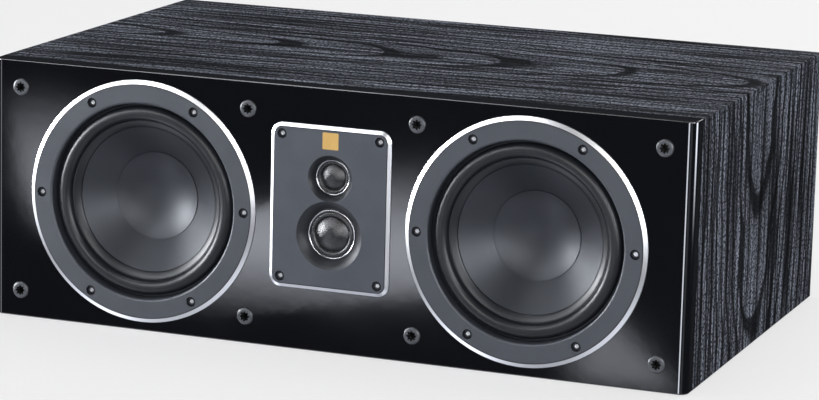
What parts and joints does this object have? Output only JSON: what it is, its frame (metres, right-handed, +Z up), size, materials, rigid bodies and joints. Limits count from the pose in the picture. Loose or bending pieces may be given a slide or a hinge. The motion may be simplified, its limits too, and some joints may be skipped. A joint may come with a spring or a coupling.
{
  "type": "centre channel loudspeaker",
  "caption": "Wide low box loudspeaker for the middle channel: woofers beside a plate with domes, gloss baffle, rear ports and screw terminals.",
  "frame": {"origin": "centre of the bottom face, halfway through the whole depth", "axes": "+X to the right seen from the front, +Z up, the baffle faces -Y"},
  "size_m": [0.53, 0.3362, 0.19],
  "materials": {
    "veneer": "embossed black ash foil",
    "gloss_lacquer": "black high gloss",
    "back_board": "black foil",
    "bare_board": "raw fibreboard",
    "socket_plastic": "satin",
    "wool": "polyester fibre",
    "port_plastic": "fine texture",
    "cup_plastic": "fine texture",
    "foam": "closed cell",
    "black_screw": "black oxide",
    "plate_satin": "satin",
    "plain_steel": "zinc",
    "board_laminate": "laminate",
    "copper": "enamelled wire",
    "capacitor_sleeve": "shrink sleeve",
    "cement": "matte",
    "gold_brass": "gold plated",
    "black_cap": "knurled",
    "red_cap": "knurled",
    "frame_satin": "satin dark grey with a polished bevel",
    "surround_rubber": "semi matte",
    "cone": "satin coated",
    "spider_cloth": "impregnated cloth",
    "ferrite": "matte",
    "bright_ring": "polished",
    "dome_cloth": "coated",
    "neodymium": "nickel"
  },
  "bodies": {
    "cabinet": {"cabinet_wrap": "veneer", "front_baffle": "gloss_lacquer", "rear_panel": "back_board", "left_brace": "bare_board", "right_brace": "bare_board", "grille_sockets": "socket_plastic", "left_wool": "wool", "right_wool": "wool", "left_port_tube": "port_plastic", "right_port_tube": "port_plastic", "terminal_cup": "cup_plastic", "terminal_gasket": "foam", "terminal_screws": "black_screw", "tweeter_plate": "plate_satin", "tweeter_gasket": "foam", "tweeter_screws": "black_screw", "post_nuts": "plain_steel", "crossover_board": "board_laminate", "crossover_standoffs": "cup_plastic", "crossover_coils": "copper", "crossover_capacitors": "capacitor_sleeve", "crossover_resistors": "cement", "negative_post": "gold_brass", "positive_post": "gold_brass", "left_woofer_frame": "frame_satin", "left_woofer_gasket": "foam", "left_woofer_screws": "black_screw", "left_woofer_surround": "surround_rubber", "left_woofer_spider": "spider_cloth", "left_woofer_top_plate": "plain_steel", "left_woofer_magnet": "ferrite", "left_woofer_yoke": "plain_steel", "right_woofer_frame": "frame_satin", "right_woofer_gasket": "foam", "right_woofer_screws": "black_screw", "right_woofer_surround": "surround_rubber", "right_woofer_spider": "spider_cloth", "right_woofer_top_plate": "plain_steel", "right_woofer_magnet": "ferrite", "right_woofer_yoke": "plain_steel", "tweeter_ring": "bright_ring", "tweeter_dome": "dome_cloth", "tweeter_pole_plate": "plain_steel", "tweeter_magnet": "neodymium", "tweeter_yoke": "plain_steel", "upper_tweeter_ring": "bright_ring", "upper_tweeter_dome": "dome_cloth", "upper_tweeter_pole_plate": "plain_steel", "upper_tweeter_magnet": "neodymium", "upper_tweeter_yoke": "plain_steel"},
    "left_cone": {"left_woofer_cone": "cone", "left_woofer_dust_cap": "cone", "left_woofer_voice_coil": "copper"},
    "right_cone": {"right_woofer_cone": "cone", "right_woofer_dust_cap": "cone", "right_woofer_voice_coil": "copper"},
    "negative_clamp": {"negative_washer": "gold_brass"},
    "negative_knob": {"negative_cap": "black_cap"},
    "positive_clamp": {"positive_washer": "gold_brass"},
    "positive_knob": {"positive_cap": "red_cap"}
  },
  "joints": [
    {"name": "left_cone_slide", "type": "slide", "parent": "cabinet", "child": "left_cone", "axis": [0, -1, 0], "range_m": [-0.005, 0.005], "stiffness_N_per_m": 1000, "deforming": ["left_woofer_surround", "left_woofer_spider"]},
    {"name": "right_cone_slide", "type": "slide", "parent": "cabinet", "child": "right_cone", "axis": [0, -1, 0], "range_m": [-0.005, 0.005], "stiffness_N_per_m": 1000, "deforming": ["right_woofer_surround", "right_woofer_spider"]},
    {"name": "negative_clamp_slide", "type": "slide", "parent": "cabinet", "child": "negative_clamp", "axis": [0, 1, 0], "range_m": [0, 0.005]},
    {"name": "negative_knob_turn", "type": "hinge", "parent": "negative_clamp", "child": "negative_knob", "pos_m": [-0.016, 0.14055, 0.095], "axis": [0, 1, 0], "range_deg": [0, 1800]},
    {"name": "positive_clamp_slide", "type": "slide", "parent": "cabinet", "child": "positive_clamp", "axis": [0, 1, 0], "range_m": [0, 0.005]},
    {"name": "positive_knob_turn", "type": "hinge", "parent": "positive_clamp", "child": "positive_knob", "pos_m": [0.016, 0.14055, 0.095], "axis": [0, 1, 0], "range_deg": [0, 1800]}
  ],
  "couplings": [
    {"joint": "negative_clamp_slide", "follows": "negative_knob_turn", "m_per_rad": 0.00015915},
    {"joint": "positive_clamp_slide", "follows": "positive_knob_turn", "m_per_rad": 0.00015915}
  ]
}
